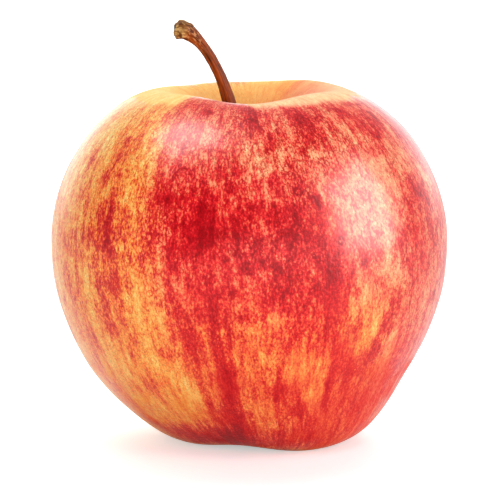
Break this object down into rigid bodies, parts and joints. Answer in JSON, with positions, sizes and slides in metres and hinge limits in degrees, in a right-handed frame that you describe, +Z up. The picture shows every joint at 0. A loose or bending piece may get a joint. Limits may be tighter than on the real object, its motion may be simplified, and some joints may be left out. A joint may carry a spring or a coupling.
{
  "type": "apple",
  "caption": "Picked apple that stands on its own feet: a striped red and yellow fruit, widest above its middle, with a leaning woody stem and a dried flower underneath.",
  "frame": {"origin": "on the surface the apple stands on, under the middle of its box, on the core's axis", "axes": "+Z up the core to the stem end, -Y the front, where the stem leans towards -X"},
  "size_m": [0.0751, 0.0749, 0.0799],
  "materials": {
    "skin": "waxy semi-gloss skin, red stripes and speckle over yellow-orange ground",
    "stem_bark": "dry brown bark with fine ridges",
    "dried_sepal": "dry, matt, papery brown",
    "dried_stamens": "dry, matt, dark brown"
  },
  "bodies": {
    "root": {"fruit": "skin", "stem": "stem_bark", "sepal_1": "dried_sepal", "sepal_2": "dried_sepal", "sepal_3": "dried_sepal", "sepal_4": "dried_sepal", "sepal_5": "dried_sepal", "stamens": "dried_stamens"}
  },
  "joints": []
}
